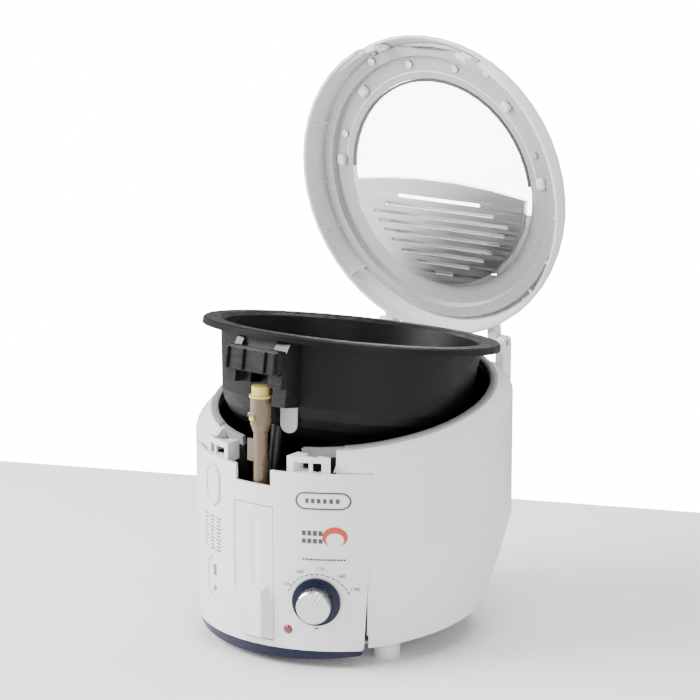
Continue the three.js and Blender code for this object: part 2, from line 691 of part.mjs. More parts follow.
function lidShell() {
  const outer = turned(lidOutline(0));
  const inner = turned(lidOutline(lidWall)).add(disc(lidR - lidWall, -2, 1));
  const view = moved(disc(windowR + 1, 0, 60), 0, windowMid, 0)
    .subtract(box(-140, 140, windowMid + 22, 200, 0, 60));
  const vent = box(-coverHalf - 0.6, coverHalf + 0.6, coverLow - 0.6, coverHigh + 2.2, 20, 60);
  const keeperRoom = box(-keeperOut - 2, keeperOut + 2, -150, -100, -5, 9.2);
  let shell = outer.subtract(inner).subtract(view).subtract(vent).subtract(keeperRoom);
  [1, -1].forEach((side) => {
    const low = Math.min(side * knuckleIn, side * (knuckleIn + knuckleWide));
    const high = low + knuckleWide;
    const barrel = hingeInLidCylinder(knuckleR - 0.6, low, high);
    const arm = box(low, high, 108, hingeInLid.y, hingeInLid.z - knuckleR + 1.4, hingeInLid.z + 4.4);
    shell = shell.add(barrel).add(arm.subtract(disc(lidR - 1, -20, 60)));
  });
  return shell.subtract(hingeInLidCylinder(hingePinR + 0.3, -100, 100));
}

function lidInnerRing() {
  const sheet = 2.2;
  const roof = windowUp + 2;
  const top = ringSeatLow + 2.8;
  const neck = ringSeatR - 9;
  const outer = turned([[0, ringSeatLow], [ringSeatR, ringSeatLow], [ringSeatR, top], [neck + 2, top],
    [neck, roof], [0, roof]]);
  let ring = outer.subtract(turned([[0, ringSeatLow - 1], [neck, ringSeatLow - 1],
    [neck - sheet, roof - sheet], [0, roof - sheet]]));
  earSpots.forEach(([x, y]) => {
    ring = ring.add(moved(disc(6, ringSeatLow, top, small), x, y, 0));
  });
  ring = ring.subtract(moved(disc(windowR - 3, 0, 60), 0, windowMid, 0));
  screwSpots.forEach(([x, y]) => {
    ring = ring.subtract(moved(disc(1.9, 0, 60, small), x, y, 0));
  });
  return ring.subtract(box(-56, 56, -140, -ringSeatR + 4, 0, 30));
}

function lidScrew(x, y) {
  const high = Math.hypot(x, y) > 115;
  const seat = (high ? ringSeatLow : windowUp - gap / 2) - gap / 2;
  const head = disc(3.4, seat - 1.4, seat, small);
  const shank = disc(1.5, seat - 1, seat + 5, small);
  return moved(head.add(shank), x, y, 0);
}

const glassLow = windowUp + 2 + gap;

function windowGlass() {
  return moved(disc(windowR + 4, glassLow, glassLow + 3), 0, windowMid, 0)
    .subtract(box(-140, 140, windowMid + 20, 200, 0, 60));
}

function windowGasket() {
  return moved(tube(windowR - 3.4, windowR - 5.6, windowUp - 1, windowUp + 2), 0, windowMid, 0)
    .subtract(box(-140, 140, plateEdge - 1, 200, 0, 60));
}

// Curved front edge of the splash plate.
function plateOutline(inset) {
  const shape = new THREE.Shape();
  const reach = windowR - 6.2 - inset;
  const edge = plateEdge + inset;
  const half = Math.sqrt(reach ** 2 - (edge + 8) ** 2);
  shape.moveTo(half, edge + 8);
  shape.absarc(0, 0, reach, Math.atan2(edge + 8, half), Math.PI - Math.atan2(edge + 8, half), false);
  shape.quadraticCurveTo(0, edge - 8, half, edge + 8);
  return shape;
}

function splashPlate() {
  const low = windowUp - 6;
  const lip = slab(plateOutline(0), low, low + 5).subtract(slab(plateOutline(1.2), low - 1, low + 6));
  let plate = slab(plateOutline(0), low, low + 1.2).add(lip);
  for (let i = 0; i < plateSlots; i += 1) {
    const y = plateEdge + 18 + i * slotPitch;
    const half = Math.min(44 + 14 * i, Math.sqrt(Math.max(100, (windowR - 20) ** 2 - y ** 2)));
    const slot = slab(roundedShape(2 * half, slotWide, slotWide / 2 - 0.01), low - 3, low + 8);
    plate = plate.subtract(moved(slot, 0, y, 0));
  }
  return moved(plate, 0, windowMid, 0);
}

function filterPad() {
  const inset = 2.4;
  return box(inset - coverHalf, coverHalf - inset, coverLow + inset, coverHigh - inset,
    windowUp + 2 + gap, lidTall - 4.4);
}

function filterCover() {
  return box(-coverHalf, coverHalf, coverLow, coverHigh, lidTall - 3.4, lidTall + 0.6)
    .add(box(-14, 14, coverLow - 4.1, coverLow + 1.4, lidTall + 0.3, lidTall + 2.4));
}

const hookIn = rimLipR + 1;
const hookOut = hookIn + 2.5;
const latchLow = ringSeatLow + 4.1;
const latchOut = ringSeatR + 0.8;

// Hook that reaches down past the bowl's rim into a keeper when the lid is closed.
function latchHook(side) {
  const x = side * (keeperIn + keeperOut) / 2;
  const low = -2.5;
  const high = latchLow - gap;
  const outer = turned([[0, low], [hookOut + 2, low], [hookOut + 2, low + 3], [hookOut, low + 3],
    [hookOut, 8.5], [hookOut - 1.4, 14.6], [hookOut - 4.1, high], [0, high]]);
  const inner = turned([[0, low - 1], [hookIn, low - 1], [hookIn, 14.2], [hookIn - 2.5, 15.6],
    [hookIn - 3.9, 16.6], [hookIn - 3.9, high + 1], [0, high + 1]]);
  return outer.subtract(inner)
    .intersect(box(x - hookWide / 2, x + hookWide / 2, -200, -100, low - 1, latchLow));
}

// Curved bar inside the lid's front that carries both hooks.
function latchBar() {
  const thin = disc(latchOut - 3, 0, 60).intersect(box(-38, 38, -200, 0, 0, 60));
  return tube(latchOut, ringSeatR - 5.4, latchLow, latchLow + 2.3)
    .intersect(box(-54, 54, -200, -100, 0, 60))
    .subtract(thin);
}

// ---------------------------------------------------------------- assembly
const casing = new THREE.Group();
everything.add(casing);
add(casing, 'outer_shell', outerShell(), white, 0.4);
add(casing, 'lower_skirt', lowerSkirt(), white, 0.4);
add(casing, 'base_plate', basePlate(), grey, 0.6);
add(casing, 'front_panel', frontPanel(), white, 0.38);
add(casing, 'base_trim', baseTrim(), navy, 0.35);
Object.keys(footSpots).forEach((name) => add(casing, `foot_${name}`, foot(name), white, 0.6));
add(casing, 'latch_keeper_left', latchKeeper(-1), white, 0.45);
add(casing, 'latch_keeper_right', latchKeeper(1), white, 0.45);
add(casing, 'rim_seal_ring', rimRing(), grey, 0.4, 0.3);
add(casing, 'inner_liner', innerLiner(), black, 0.5, 0.4);
add(casing, 'heater_plate', heaterPlate(), metal, 0.4, 0.9);
add(casing, 'heating_element', heatingElement(), 0x4a4744, 0.5, 0.8);
add(casing, 'safety_cutout', safetyCutout(), 0xd8d2c0, 0.6);
add(casing, 'drive_motor', driveMotor(), metal, 0.4, 0.8);
add(casing, 'thermostat_body', thermostatBody(), 0xd8d2c0, 0.6);
add(casing, 'hinge_block', hingeBlock(), white, 0.45);
add(casing, 'hinge_pin_left', hingePin(-1), steel, 0.3, 1);
add(casing, 'hinge_pin_right', hingePin(1), steel, 0.3, 1);
add(casing, 'power_inlet', powerInlet(), black, 0.5);
add(casing, 'pilot_lamp', lampLens(), 0x8a2f28, 0.2);
add(casing, 'timer_seat', timerSeat(), white, 0.45);

const spindle = new THREE.Group();
spindle.applyMatrix4(rimFrame);
everything.add(spindle);
add(spindle, 'drive_spindle', driveSpindle(), steel, 0.35, 1);

const knob = new THREE.Group();
knob.applyMatrix4(panelFrame(knobX, knobZ));
everything.add(knob);
const knobTurn = new THREE.Group();
knobTurn.rotation.z = rad(-30);
knob.add(knobTurn);
add(knobTurn, 'knob_skirt', knobSkirt(), navy, 0.35);
add(knobTurn, 'knob_cap', knobCap(), metal, 0.3, 1);
add(knobTurn, 'knob_pointer', knobPointer(), 0xf2f2f2, 0.3);
add(knobTurn, 'knob_shaft', knobShaft(), steel, 0.4, 1);

const button = new THREE.Group();
button.applyMatrix4(panelFrame(buttonX, buttonZ));
everything.add(button);
add(button, 'lid_button', lidButton(), white, 0.4);
add(button, 'button_spring', buttonSpring(), steel, 0.3, 1);
add(button, 'button_carrier', buttonCarrier(), white, 0.5);

add(everything, 'drain_door', drainDoor(), white, 0.38);

const rimGroup = new THREE.Group();
rimGroup.applyMatrix4(rimFrame);
everything.add(rimGroup);
const bowlTip = new THREE.Group();
bowlTip.position.set(0, liftPivotY, liftPivotZ);
bowlTip.rotation.x = rad(-liftAngle);
rimGroup.add(bowlTip);
const bowlGroup = new THREE.Group();
bowlGroup.position.set(0, -liftPivotY, -liftPivotZ);
bowlTip.add(bowlGroup);
add(bowlGroup, 'bowl', bowlBody(), black, 0.42, 0.3);
add(bowlGroup, 'bowl_bracket', bowlBracket(), 0x0e0e10, 0.4);
add(bowlGroup, 'bracket_plate', bracketPlate(), grey, 0.5, 0.2);
add(bowlGroup, 'drain_elbow', drainElbow(), metal, 0.4, 0.8);
const tubeGroup = new THREE.Group();
tubeGroup.applyMatrix4(tubeFrame);
bowlGroup.add(tubeGroup);
add(tubeGroup, 'drain_tube', drainTube(), 0x7d6c58, 0.35);
add(tubeGroup, 'tube_peg', tubePeg(), brass, 0.4);
add(tubeGroup, 'drain_cap', drainCap(), 0xd9c56a, 0.45);

const lidSwing = new THREE.Group();
lidSwing.position.set(0, hingeY, hingeZ);
lidSwing.rotation.x = rad(-lidOpen);
everything.add(lidSwing);
const lid = new THREE.Group();
lid.applyMatrix4(new THREE.Matrix4().makeTranslation(0, -hingeY, -hingeZ).multiply(lidFrameClosed));
lidSwing.add(lid);
add(lid, 'lid_shell', lidShell(), white, 0.4);
add(lid, 'lid_inner_ring', lidInnerRing(), white, 0.45);
add(lid, 'window_glass', windowGlass(), 0xdfe6ea, 0.05);
add(lid, 'window_gasket', windowGasket(), 0x303236, 0.7);
add(lid, 'splash_plate', splashPlate(), 0xa9abae, 0.35, 1);
add(lid, 'filter_pad', filterPad(), 0x2a2a2a, 0.9);
add(lid, 'filter_cover', filterCover(), white, 0.4);
add(lid, 'latch_bar', latchBar(), white, 0.45);
add(lid, 'latch_hook_left', latchHook(-1), white, 0.45);
add(lid, 'latch_hook_right', latchHook(1), white, 0.45);
screwSpots.forEach(([x, y], i) => add(lid, `lid_screw_${i + 1}`, lidScrew(x, y), steel, 0.3, 1));

// The origin is the middle of the underside of the whole object.
const frameOfAll = new THREE.Group();
frameOfAll.add(everything);
frameOfAll.updateMatrixWorld(true);
const bounds = new THREE.Box3().setFromObject(frameOfAll);
const middle = bounds.getCenter(new THREE.Vector3());
everything.position.set(-middle.x, -middle.y, -bounds.min.z);

export default frameOfAll;
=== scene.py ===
"""Looks for the deep fryer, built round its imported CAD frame. Metres, +Z up, front faces -Y."""

import json
import math

import bmesh
import bpy
from mathutils import Matrix, Vector

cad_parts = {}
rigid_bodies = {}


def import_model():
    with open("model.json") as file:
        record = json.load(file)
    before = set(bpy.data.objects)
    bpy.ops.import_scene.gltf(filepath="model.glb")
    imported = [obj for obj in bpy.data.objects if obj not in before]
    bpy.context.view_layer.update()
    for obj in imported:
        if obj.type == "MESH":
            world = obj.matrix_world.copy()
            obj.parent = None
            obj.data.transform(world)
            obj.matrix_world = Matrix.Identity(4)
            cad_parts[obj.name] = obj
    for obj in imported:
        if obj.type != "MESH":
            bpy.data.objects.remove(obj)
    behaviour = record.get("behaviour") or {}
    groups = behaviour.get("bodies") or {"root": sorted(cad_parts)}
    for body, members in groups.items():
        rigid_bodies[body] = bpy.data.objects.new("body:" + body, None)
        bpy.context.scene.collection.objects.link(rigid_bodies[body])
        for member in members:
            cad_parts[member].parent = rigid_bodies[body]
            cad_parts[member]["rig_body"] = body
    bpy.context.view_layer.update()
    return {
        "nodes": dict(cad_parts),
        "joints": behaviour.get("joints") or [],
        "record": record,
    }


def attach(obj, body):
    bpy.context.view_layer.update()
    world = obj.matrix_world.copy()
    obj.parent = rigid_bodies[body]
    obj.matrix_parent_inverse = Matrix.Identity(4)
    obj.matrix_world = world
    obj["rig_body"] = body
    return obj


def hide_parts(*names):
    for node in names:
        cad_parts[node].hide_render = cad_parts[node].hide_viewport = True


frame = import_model()
JOINTS = {joint["name"]: joint for joint in frame["joints"]}
MM = 0.001
SCENE = bpy.context.scene

# ------------------------------------------------------------------ camera, floor and light
VIEW_AZIMUTH = math.radians(36.43)
VIEW_ELEVATION = math.radians(13.36)
VIEW_DISTANCE = 2.5
VIEW_LENS = 150.5
AXIS_Y = JOINTS["spindle_spin"]["pos_m"][1]
VIEW_TARGET = Vector((-0.0030, AXIS_Y - 0.0022, 0.2384))


def make_camera():
    back = Vector((math.sin(VIEW_AZIMUTH) * math.cos(VIEW_ELEVATION),
                   -math.cos(VIEW_AZIMUTH) * math.cos(VIEW_ELEVATION),
                   math.sin(VIEW_ELEVATION)))
    data = bpy.data.cameras.new("camera")
    data.sensor_width = 36
    data.lens = VIEW_LENS
    camera = bpy.data.objects.new("camera", data)
    camera.location = VIEW_TARGET + back * VIEW_DISTANCE
    camera.rotation_mode = "QUATERNION"
    camera.rotation_quaternion = back.to_track_quat("Z", "Y")
    SCENE.collection.objects.link(camera)
    SCENE.camera = camera


def new_object(name, vertices, faces):
    mesh = bpy.data.meshes.new(name)
    mesh.from_pydata([tuple(v) for v in vertices], [], faces)
    mesh.update()
    obj = bpy.data.objects.new(name, mesh)
    SCENE.collection.objects.link(obj)
    return obj


# ------------------------------------------------------------------ materials
def material(name):
    made = bpy.data.materials.new(name)
    made.use_nodes = True
    nodes = made.node_tree.nodes
    shader = next(n for n in nodes if n.type == "BSDF_PRINCIPLED")
    return made, nodes, made.node_tree.links, shader


def noise(nodes, links, scale, detail=3.0, stretch=(1, 1, 1)):
    """Noise over the object's own coordinates, with its scale per metre."""
    place = nodes.new("ShaderNodeTexCoord")
    mapping = nodes.new("ShaderNodeMapping")
    mapping.inputs["Scale"].default_value = stretch
    links.new(place.outputs["Object"], mapping.inputs["Vector"])
    texture = nodes.new("ShaderNodeTexNoise")
    texture.inputs["Scale"].default_value = scale
    texture.inputs["Detail"].default_value = detail
    links.new(mapping.outputs["Vector"], texture.inputs["Vector"])
    return texture.outputs["Fac"]


def spread(nodes, links, source, low, high, start=0.3, end=0.7):
    """Maps a noise's middle range to low..high."""
    remap = nodes.new("ShaderNodeMapRange")
    remap.inputs["From Min"].default_value = start
    remap.inputs["From Max"].default_value = end
    remap.inputs["To Min"].default_value = low
    remap.inputs["To Max"].default_value = high
    links.new(source, remap.inputs["Value"])
    return remap.outputs["Result"]


def tint(nodes, links, source, first, second):
    """A colour that runs from first to second with the source."""
    mix = nodes.new("ShaderNodeMix")
    mix.data_type = "RGBA"
    mix.inputs[6].default_value = (*first, 1)
    mix.inputs[7].default_value = (*second, 1)
    links.new(source, mix.inputs[0])
    return mix.outputs[2]


def relief(nodes, links, source, strength, distance, round_edge=0.0):
    """A bump from the source, on edges rounded by round_edge metres."""
    bump = nodes.new("ShaderNodeBump")
    bump.inputs["Strength"].default_value = strength
    bump.inputs["Distance"].default_value = distance
    links.new(source, bump.inputs["Height"])
    if round_edge:
        bevel = nodes.new("ShaderNodeBevel")
        bevel.samples = 4
        bevel.inputs["Radius"].default_value = round_edge
        links.new(bevel.outputs["Normal"], bump.inputs["Normal"])
    return bump.outputs["Normal"]


def plastic(name, colour, rough, edge=0.0006, mottle=0.04, coat=0.0, grain=0.25, shine=0.5):
    """Moulded plastic: faint cloudy colour, fine moulded grain, handling marks in its gloss."""
    made, nodes, links, shader = material(name)
    cloud = noise(nodes, links, 18, 4)
    darker = tuple(c * (1 - mottle) for c in colour)
    links.new(tint(nodes, links, cloud, darker, colour), shader.inputs["Base Color"])
    marks = noise(nodes, links, 70, 5, (1, 1, 4))
    links.new(spread(nodes, links, marks, rough - 0.05, rough + 0.08), shader.inputs["Roughness"])
    fine = noise(nodes, links, 1600, 2)
    links.new(relief(nodes, links, fine, grain, 0.00006, edge), shader.inputs["Normal"])
    shader.inputs["Specular IOR Level"].default_value = shine
    shader.inputs["Coat Weight"].default_value = coat
    shader.inputs["Coat Roughness"].default_value = 0.15
    return made


def metal(name, colour, rough, stretch=(1, 1, 1), grain=0.2, scale=500, edge=0.0004, stain=0.12):
    """Bare metal with brushing along the direction that is least stretched, and faint stains."""
    made, nodes, links, shader = material(name)
    shader.inputs["Metallic"].default_value = 1.0
    cloud = noise(nodes, links, 25, 4)
    darker = tuple(c * (1 - stain) for c in colour)
    links.new(tint(nodes, links, cloud, darker, colour), shader.inputs["Base Color"])
    lines = noise(nodes, links, scale, 3, stretch)
    links.new(spread(nodes, links, lines, rough - 0.07, rough + 0.1), shader.inputs["Roughness"])
    links.new(relief(nodes, links, lines, grain, 0.00004, edge), shader.inputs["Normal"])
    return made


def clear(name, colour, rough, weight, ior=1.48):
    """See-through plastic or glass with faint smears."""
    made, nodes, links, shader = material(name)
    smear = noise(nodes, links, 22, 5, (1, 2.5, 1))
    darker = tuple(c * 0.96 for c in colour)
    links.new(tint(nodes, links, smear, darker, colour), shader.inputs["Base Color"])
    links.new(spread(nodes, links, smear, rough, rough + 0.08), shader.inputs["Roughness"])
    links.new(relief(nodes, links, smear, 0.05, 0.0002), shader.inputs["Normal"])
    shader.inputs["Transmission Weight"].default_value = weight
    shader.inputs["IOR"].default_value = ior
    return made


LOOKS = {
    "white_plastic": plastic("white_plastic", (0.82, 0.82, 0.82), 0.36),
    "grey_plastic": plastic("grey_plastic", (0.42, 0.43, 0.45), 0.5),
    "navy_plastic": plastic("navy_plastic", (0.0025, 0.006, 0.026), 0.3, coat=0.1, grain=0.03, shine=0.25),
    "seal_grey": plastic("seal_grey", (0.30, 0.305, 0.31), 0.3, coat=0.3, grain=0.08),
    "liner_steel": plastic("liner_steel", (0.006, 0.006, 0.007), 0.5, mottle=0.3),
    "bowl_coating": plastic("bowl_coating", (0.003, 0.003, 0.0034), 0.42, mottle=0.2, grain=0.12, shine=0.2),
    "black_plastic": plastic("black_plastic", (0.004, 0.004, 0.0045), 0.32, mottle=0.2, grain=0.08),
    "aluminium": metal("aluminium", (0.55, 0.56, 0.57), 0.34, (0.05, 1, 1), 0.15),
    "steel": metal("steel", (0.62, 0.62, 0.63), 0.28),
    "element_steel": metal("element_steel", (0.16, 0.15, 0.14), 0.5),
    "ceramic": plastic("ceramic", (0.66, 0.62, 0.5), 0.6),
    "tube_brown": plastic("tube_brown", (0.15, 0.10, 0.055), 0.25, coat=0.4, grain=0.05, mottle=0.25),
    "cap_yellow": plastic("cap_yellow", (0.66, 0.54, 0.14), 0.45, grain=0.08),
    "lamp_red": plastic("lamp_red", (0.22, 0.02, 0.016), 0.15, coat=0.8),
    "glass": clear("glass", (0.97, 0.985, 0.985), 0.0, 1.0),
    "gasket": plastic("gasket", (0.09, 0.09, 0.095), 0.6),
    "filter": plastic("filter", (0.80, 0.80, 0.78), 0.9, grain=1.0),
    "ring_silver": plastic("ring_silver", (0.40, 0.41, 0.42), 0.26, coat=0.5, grain=0.05),
    "print_grey": plastic("print_grey", (0.07, 0.07, 0.08), 0.55),
    "print_red": plastic("print_red", (0.55, 0.06, 0.02), 0.45),
    "knob_metal": metal("knob_metal", (0.66, 0.67, 0.68), 0.26, (1, 1, 1), 0.1),
}

# ------------------------------------------------------------------ frames of the object
RIM_AT = Vector(JOINTS["spindle_spin"]["pos_m"])
RIM_TILT = math.atan2(-JOINTS["spindle_spin"]["axis"][1], JOINTS["spindle_spin"]["axis"][2])
RIM = Matrix.Translation(RIM_AT) @ Matrix.Rotation(RIM_TILT, 4, "X")


def swung(joint, angle, matrix):
    """The matrix turned about a hinge that runs along +X."""
    pivot = Vector(JOINTS[joint]["pos_m"])
    turn = Matrix.Rotation(angle, 4, "X")
    return Matrix.Translation(pivot) @ turn @ Matrix.Translation(-pivot) @ matrix


BOWL = swung("bowl_lift", -math.radians(JOINTS["bowl_lift"]["range_deg"][1]), RIM)
LID_RISE = -5.5 * MM
LID = swung("lid_hinge", -math.radians(JOINTS["lid_hinge"]["range_deg"][1]),
            RIM @ Matrix.Translation((0, 0, LID_RISE)))
TUBE_MOUTH = (0, -119 * MM, -46 * MM)
TUBE_LEAN = math.radians(8.5)
TUBE = BOWL @ Matrix.Translation(TUBE_MOUTH) @ Matrix.Rotation(TUBE_LEAN, 4, "X")
KNOB_AT = Vector(JOINTS["temperature_knob"]["pos_m"])
KNOB_OUT = Vector(JOINTS["temperature_knob"]["axis"])
KNOB = Matrix.Translation(KNOB_AT) @ KNOB_OUT.to_track_quat("Z", "Y").to_matrix().to_4x4()
PANEL_ARC_Y = 20 * MM
PANEL_AT = Vector((0, AXIS_Y - PANEL_ARC_Y, 0))
WINDOW_MIDDLE = 2 * MM
WINDOW = LID @ Matrix.Translation((0, WINDOW_MIDDLE, 0))
PANEL_R = 122.2 * MM


# ------------------------------------------------------------------ smooth copies of CAD nodes
SHAPES = {
    "casing": (Matrix.Translation((0, RIM_AT.y, 0)), True),
    "panel": (Matrix.Translation((0, RIM_AT.y - PANEL_ARC_Y, 0)), False),
    "rim": (RIM, False),
    "bowl": (BOWL, False),
    "lid": (LID, False),
    "window": (WINDOW, False),
    "tube": (TUBE, False),
    "knob": (KNOB, False),
}
TAPER_TOP = 100 * MM
TAPER_SHIFT = 14 / 85
ROUND_MATCH = math.cos(math.radians(5.5))


def round_normal(shape, normal, point):
    """The normal of the true round surface at a point of a facet, or None if the facet is flat."""
    matrix, tapered = SHAPES[shape]
    local = matrix.inverted() @ point
    facing = matrix.to_3x3().inverted() @ normal
    if tapered and local.z < TAPER_TOP:
        local.y += (TAPER_TOP - local.z) * TAPER_SHIFT
    spoke = Vector((local.x, local.y, 0))
    across = Vector((facing.x, facing.y, 0))
    if spoke.length < 1e-5 or across.length < 0.08:
        return None
    spoke.normalize()
    match = spoke.dot(across) / across.length
    if abs(match) < ROUND_MATCH:
        return None
    side = 1 if match > 0 else -1
    return matrix.to_3x3() @ (spoke * across.length * side + Vector((0, 0, facing.z)))


def smooth_copy(node, look, *shapes):
    """A copy of a CAD node whose round faces are shaded as the true round surface."""
    source = frame["nodes"][node]
    mesh = source.data.copy()
    mesh.name = node + "_skin"
    copy = bpy.data.objects.new(node + "_skin", mesh)
    SCENE.collection.objects.link(copy)
    normals = []
    for face in mesh.polygons:
        face.use_smooth = True
        points = [mesh.vertices[mesh.loops[i].vertex_index].co for i in face.loop_indices]
        chosen = None
        for shape in shapes:
            found = [round_normal(shape, face.normal, p) for p in points]
            if all(found):
                chosen = found
                break
        normals.extend(chosen or [face.normal.copy()] * len(points))
    mesh.normals_split_custom_set([tuple(n.normalized()) for n in normals])
    mesh.materials.clear()
    mesh.materials.append(LOOKS[OTHER_LOOKS.get(node, look)])
    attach(copy, source["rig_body"])
    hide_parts(node)
    return copy


OTHER_LOOKS = {"lid_inner_ring": "ring_silver", "drain_elbow": "black_plastic"}
SLOTS = {part["node"]: part["material_slot"] for part in frame["record"]["subparts"]}
ROUND_NODES = {
    "outer_shell": ("casing", "rim"),
    "lower_skirt": ("casing",),
    "front_panel": ("panel",),
    "base_trim": ("panel",),
    "drain_door": ("panel",),
    "latch_keeper_left": ("panel",),
    "latch_keeper_right": ("panel",),
    "rim_seal_ring": ("rim",),
    "inner_liner": ("rim",),
    "bowl": ("bowl",),
    "bracket_plate": ("bowl",),
    "drain_tube": ("tube",),
    "drain_cap": ("tube",),
    "lid_shell": ("lid", "window"),
    "lid_inner_ring": ("lid", "window"),
    "window_glass": ("window",),
    "window_gasket": ("window",),
    "splash_plate": ("window",),
    "latch_bar": ("lid",),
    "knob_skirt": ("knob",),
    "knob_cap": ("knob",),
}

make_camera()
for node, obj in frame["nodes"].items():
    if node in ROUND_NODES:
        smooth_copy(node, SLOTS[node], *ROUND_NODES[node])
    else:
        obj.data.materials.clear()
        obj.data.materials.append(LOOKS[OTHER_LOOKS.get(node, SLOTS[node])])


# ------------------------------------------------------------------ pieces made here
def finish_piece(obj, look, body, smooth=False):
    for face in obj.data.polygons:
        face.use_smooth = smooth
    obj.data.materials.append(LOOKS[look])
    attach(obj, body)
    return obj


def block(name, matrix, low, high, edge, look, body):
    """A box with rounded edges, from its low corner to its high corner in millimetres."""
    made = bmesh.new()
    bmesh.ops.create_cube(made, size=1)
    for vertex in made.verts:
        vertex.co = Vector([(a + b) / 2 + c * (b - a) for a, b, c in zip(low, high, vertex.co)]) * MM
    bmesh.ops.bevel(made, geom=made.edges[:], offset=edge * MM, segments=2, affect="EDGES")
    bmesh.ops.transform(made, matrix=matrix, verts=made.verts)
    mesh = bpy.data.meshes.new(name)
    made.to_mesh(mesh)
    made.free()
    obj = bpy.data.objects.new(name, mesh)
    SCENE.collection.objects.link(obj)
    return finish_piece(obj, look, body)


def swept_arc(name, matrix, profile, start, end, look, body, steps=64):
    """A closed profile of radius and height in millimetres, swept about the matrix's Z axis."""
    vertices = []
    count = len(profile)
    for i in range(steps + 1):
        angle = math.radians(start + (end - start) * i / steps)
        for radius, height in profile:
            place = Vector((radius * math.cos(angle), radius * math.sin(angle), height)) * MM
            vertices.append(matrix @ place)
    faces = [(i * count + k, i * count + (k + 1) % count,
              (i + 1) * count + (k + 1) % count, (i + 1) * count + k)
             for i in range(steps) for k in range(count)]
    faces.append(tuple(range(count - 1, -1, -1)))
    faces.append(tuple(steps * count + k for k in range(count)))
    return finish_piece(new_object(name, vertices, faces), look, body, True)


def bead_profile(radius, height, half, sides=10):
    """A round bead's section at a radius and height."""
    turns = [2 * math.pi * k / sides for k in range(sides)]
    return [(radius + half * math.cos(t), height + half * math.sin(t)) for t in turns]


def on_panel(x, z, out):
    """The point of the bowed front panel at a distance from its centre line, raised by out."""
    angle = math.asin(x * MM / PANEL_R)
    reach = PANEL_R + out * MM
    return PANEL_AT + Vector((reach * math.sin(angle), -reach * math.cos(angle), z * MM))


def panel_marks(name, outlines, look, raised=0.12, sunk=0.3):
    """Thin printed shapes that follow the bowed panel, from outlines of x and z in millimetres."""
    vertices = []
    faces = []
    for outline in outlines:
        first = len(vertices)
        count = len(outline)
        vertices += [on_panel(x, z, raised) for x, z in outline]
        vertices += [on_panel(x, z, -sunk) for x, z in outline]
        faces.append(tuple(range(first, first + count)))
        faces.append(tuple(range(first + 2 * count - 1, first + count - 1, -1)))
        faces += [(first + k, first + count + k, first + count + (k + 1) % count, first + (k + 1) % count)
                  for k in range(count)]
    return finish_piece(new_object(name, vertices, faces), look, "housing")


BAND_STEP = 2.5


def band(points, half):
    """Quads along a line of points, each as wide as twice half."""
    quads = []
    for (x0, z0), (x1, z1) in zip(points, points[1:]):
        long = math.hypot(x1 - x0, z1 - z0)
        if long < 1e-6:
            continue
        nx, nz = -(z1 - z0) / long * half, (x1 - x0) / long * half
        count = math.ceil(long / BAND_STEP)
        for k in range(count):
            a, b = k / count, (k + 1) / count
            xa, za = x0 + (x1 - x0) * a, z0 + (z1 - z0) * a
            xb, zb = x0 + (x1 - x0) * b, z0 + (z1 - z0) * b
            quads.append([(xa - nx, za - nz), (xb - nx, zb - nz), (xb + nx, zb + nz), (xa + nx, za + nz)])
    return quads


def arc_points(x, z, radius, start, end, steps=20):
    """Points of an arc, with its angles clockwise from straight up."""
    turns = [math.radians(start + (end - start) * k / steps) for k in range(steps + 1)]
    return [(x + radius * math.sin(t), z + radius * math.cos(t)) for t in turns]


def rectangle(x, z, half_wide, half_high):
    return [(x - half_wide, z - half_high), (x + half_wide, z - half_high),
            (x + half_wide, z + half_high), (x - half_wide, z + half_high)]


NUMERAL_RAISED = 0.1


def numeral(name, body, x, z, size):
    """A number printed on the panel in Blender's own plain font."""
    curve = bpy.data.curves.new(name, "FONT")
    curve.body = body
    curve.size = size
    curve.align_x = "CENTER"
    curve.align_y = "CENTER"
    holder = bpy.data.objects.new(name + "_text", curve)
    SCENE.collection.objects.link(holder)
    bpy.context.view_layer.update()
    mesh = bpy.data.meshes.new_from_object(holder)
    bpy.data.objects.remove(holder)
    bpy.data.curves.remove(curve)
    for vertex in mesh.vertices:
        vertex.co = on_panel(x + vertex.co.x, z + vertex.co.y, NUMERAL_RAISED)
    obj = bpy.data.objects.new(name, mesh)
    SCENE.collection.objects.link(obj)
    obj.data.materials.clear()
    return finish_piece(obj, "print_grey", "housing")


# ------------------------------------------------------------------ front panel prints
DIAL_X, DIAL_Z = 56, 58
NUMERAL_SIZE = 4.2
SCALE_R = 23.4
NUMERAL_R = 28.2


def make_dial_scale():
    marks = []
    for start in range(-72, 78, 10):
        marks += band(arc_points(DIAL_X, DIAL_Z, SCALE_R, start, start + 6, 3), 0.35)
    marks.append(rectangle(DIAL_X, DIAL_Z - SCALE_R, 1.3, 0.45))
    panel_marks("dial_scale", marks, "print_grey")
    for number, angle in (("150", -62), ("160", -28), ("170", 6), ("180", 38), ("190", 68)):
        turn = math.radians(angle)
        numeral("dial_" + number, number, DIAL_X + NUMERAL_R * math.sin(turn),
                DIAL_Z + NUMERAL_R * math.cos(turn), NUMERAL_SIZE)


